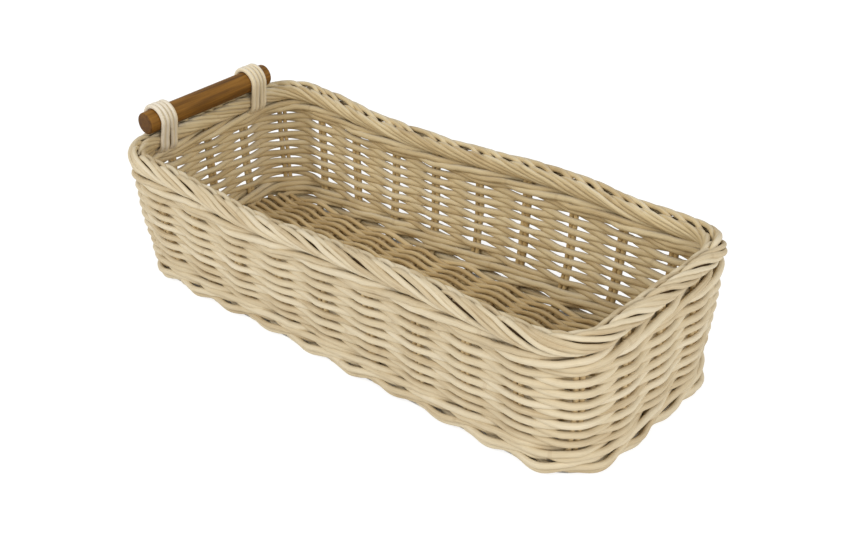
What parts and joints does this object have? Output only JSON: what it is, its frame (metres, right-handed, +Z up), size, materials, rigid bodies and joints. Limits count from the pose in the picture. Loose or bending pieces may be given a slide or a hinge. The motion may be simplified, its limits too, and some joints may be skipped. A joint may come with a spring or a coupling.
{
  "type": "cutlery basket",
  "caption": "Long low woven cane basket with an open top, a rolled rope-like border and a round wooden bar lashed onto one end, for holding cutlery.",
  "frame": {"origin": "middle of the base's underside, where the basket stands", "axes": "+X along the basket away from the end with the bar, +Z up"},
  "size_m": [0.3849, 0.161, 0.1132],
  "materials": {
    "weaver_cane": "pale natural cane, matt",
    "stake_cane": "natural cane, matt",
    "lashing_cane": "bleached cane, matt",
    "bar_wood": "brown stained, satin"
  },
  "bodies": {
    "basket": {"cross_stake_1": "stake_cane", "cross_stake_2": "stake_cane", "cross_stake_3": "stake_cane", "cross_stake_4": "stake_cane", "cross_stake_5": "stake_cane", "cross_stake_6": "stake_cane", "cross_stake_7": "stake_cane", "cross_stake_8": "stake_cane", "cross_stake_9": "stake_cane", "handle_end_stake_1": "stake_cane", "handle_end_stake_2": "stake_cane", "handle_end_stake_3": "stake_cane", "far_end_stake_1": "stake_cane", "far_end_stake_2": "stake_cane", "far_end_stake_3": "stake_cane", "corner_stake_1": "stake_cane", "corner_stake_2": "stake_cane", "corner_stake_3": "stake_cane", "corner_stake_4": "stake_cane", "row_1_weaver_a": "weaver_cane", "row_1_weaver_b": "weaver_cane", "row_2_weaver_a": "weaver_cane", "row_2_weaver_b": "weaver_cane", "row_3_weaver_a": "weaver_cane", "row_3_weaver_b": "weaver_cane", "row_4_weaver_a": "weaver_cane", "row_4_weaver_b": "weaver_cane", "row_5_weaver_a": "weaver_cane", "row_5_weaver_b": "weaver_cane", "row_6_weaver_a": "weaver_cane", "row_6_weaver_b": "weaver_cane", "row_7_weaver_a": "weaver_cane", "row_7_weaver_b": "weaver_cane", "row_8_weaver_a": "weaver_cane", "row_8_weaver_b": "weaver_cane", "foot_wale_rod_1": "weaver_cane", "foot_wale_rod_2": "weaver_cane", "foot_wale_rod_3": "weaver_cane", "foot_wale_rod_4": "weaver_cane", "lower_wale_rod_1": "weaver_cane", "lower_wale_rod_2": "weaver_cane", "lower_wale_rod_3": "weaver_cane", "lower_wale_rod_4": "weaver_cane", "top_wale_rod_1": "weaver_cane", "top_wale_rod_2": "weaver_cane", "top_wale_rod_3": "weaver_cane", "top_wale_rod_4": "weaver_cane", "rolled_border": "weaver_cane", "base_mat": "weaver_cane", "near_lashing": "lashing_cane", "far_lashing": "lashing_cane"},
    "bar": {"handle_bar": "bar_wood"}
  },
  "joints": [
    {"name": "bar_turn", "type": "hinge", "parent": "basket", "child": "bar", "pos_m": [-0.1813, 0, 0.10123], "axis": [0, 1, 0], "continuous": true}
  ]
}
